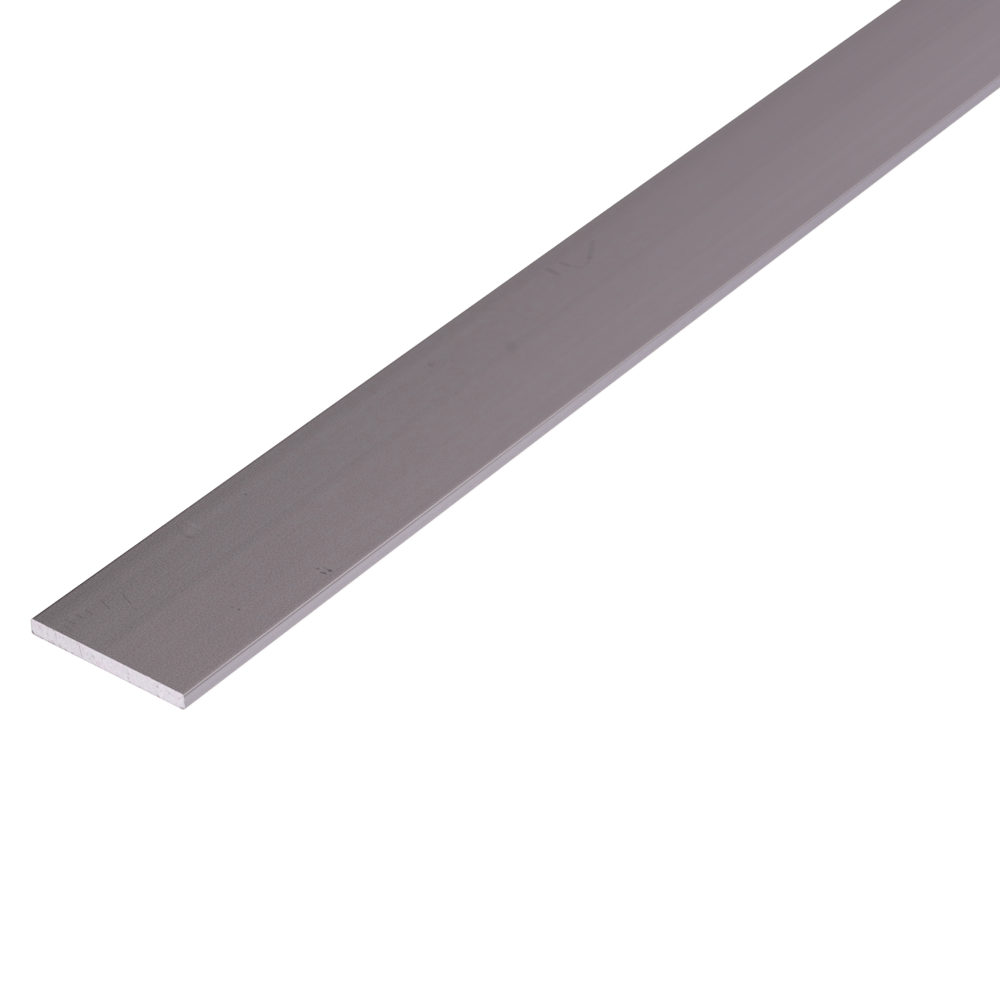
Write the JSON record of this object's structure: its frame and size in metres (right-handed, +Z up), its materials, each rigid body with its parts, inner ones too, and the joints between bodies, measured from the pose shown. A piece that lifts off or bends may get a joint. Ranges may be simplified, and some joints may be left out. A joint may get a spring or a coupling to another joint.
{
  "type": "flat bar",
  "caption": "Straight length of extruded aluminium flat bar, a thin rectangular section with small rounded corners and square-sawn ends.",
  "frame": {"origin": "under the middle of the bar, on the surface that its wide face lies on", "axes": "+X along the bar, +Y across its width, +Z up through its thickness"},
  "size_m": [1, 0.03, 0.003],
  "materials": {
    "mill_finish": "satin mill finish as it left the die, with fine lines along the bar; the sawn ends are brighter"
  },
  "bodies": {
    "root": {"flat_bar": "mill_finish"}
  },
  "joints": []
}
